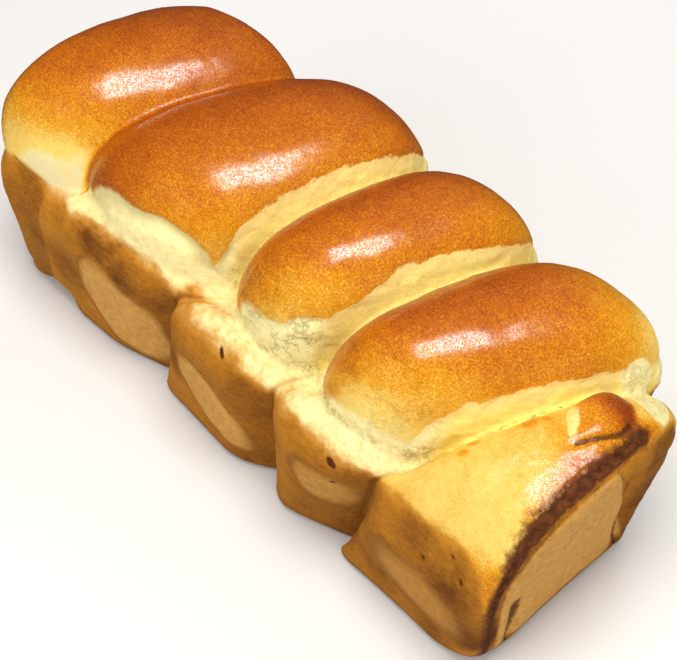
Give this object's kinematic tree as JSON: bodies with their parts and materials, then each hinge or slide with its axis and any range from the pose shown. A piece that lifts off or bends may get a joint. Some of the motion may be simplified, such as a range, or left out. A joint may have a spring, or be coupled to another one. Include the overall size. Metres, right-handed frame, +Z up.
{
  "type": "braided sweet bread loaf",
  "caption": "Long braided sweet bread loaf from a tin, with plump glazed crown lobes across it, pale torn grooves between them and a smooth front pillow with a tucked knob.",
  "frame": {"origin": "on the surface the loaf stands on, under the middle of its box", "axes": "+Z up, +X along the loaf towards the end with the tucked knob, -Y towards the side with the long ledge beside the crown lobes"},
  "size_m": [0.2942, 0.128, 0.12],
  "materials": {
    "crust": "egg-washed baked crust: glossy brown on the crown, matte golden on the sides, pale cream where it tore"
  },
  "bodies": {
    "root": {"loaf": "crust"}
  },
  "joints": []
}
